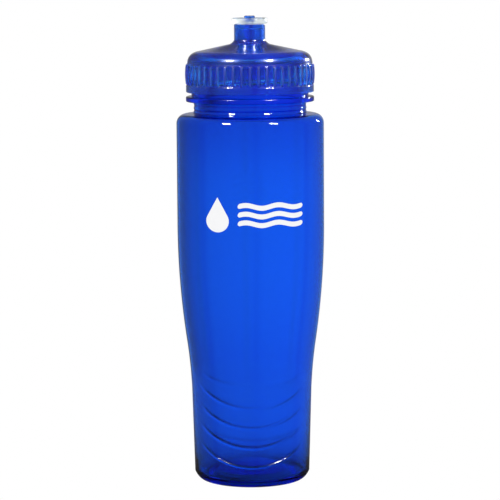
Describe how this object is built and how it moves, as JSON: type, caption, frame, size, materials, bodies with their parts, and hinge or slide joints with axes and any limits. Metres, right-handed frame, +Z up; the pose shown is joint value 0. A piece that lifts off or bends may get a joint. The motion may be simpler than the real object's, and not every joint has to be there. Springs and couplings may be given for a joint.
{
  "type": "sports squeeze bottle",
  "caption": "Clear blue squeeze bottle with a narrower ribbed grip, a knurled screw lid on a real thread, and a push-pull mouthpiece that closes on a fixed pin.",
  "frame": {"origin": "on the floor, on the bottle's axis, at the middle of the foot ring", "axes": "+Z up along the bottle's axis, -Y towards the printed front, +X to the right of it"},
  "size_m": [0.0762, 0.0762, 0.2417],
  "materials": {
    "bottle_plastic": "clear deep blue blown plastic, glossy",
    "washer_foam": "matt soft foam liner, dyed the lid's blue",
    "lid_plastic": "clear deep blue moulded plastic, glossy, with fine grip ribs",
    "mouthpiece_plastic": "frosted colourless soft plastic, satin",
    "white_ink": "white pad-printed ink"
  },
  "bodies": {
    "bottle": {"bottle_body": "bottle_plastic"},
    "seal": {"sealing_washer": "washer_foam"},
    "lid": {"screw_lid": "lid_plastic"},
    "spout": {"mouthpiece": "mouthpiece_plastic"}
  },
  "joints": [
    {"name": "lid_lift", "type": "slide", "parent": "bottle", "child": "seal", "axis": [0, 0, 1], "range_m": [0, 0.005]},
    {"name": "lid_turn", "type": "hinge", "parent": "seal", "child": "lid", "pos_m": [0, 0, 0.2104], "axis": [0, 0, 1], "range_deg": [0, 360]},
    {"name": "spout_pull", "type": "slide", "parent": "lid", "child": "spout", "axis": [0, 0, 1], "range_m": [0, 0.006]}
  ],
  "couplings": [
    {"joint": "lid_lift", "follows": "lid_turn", "m_per_rad": 0.00079577}
  ]
}
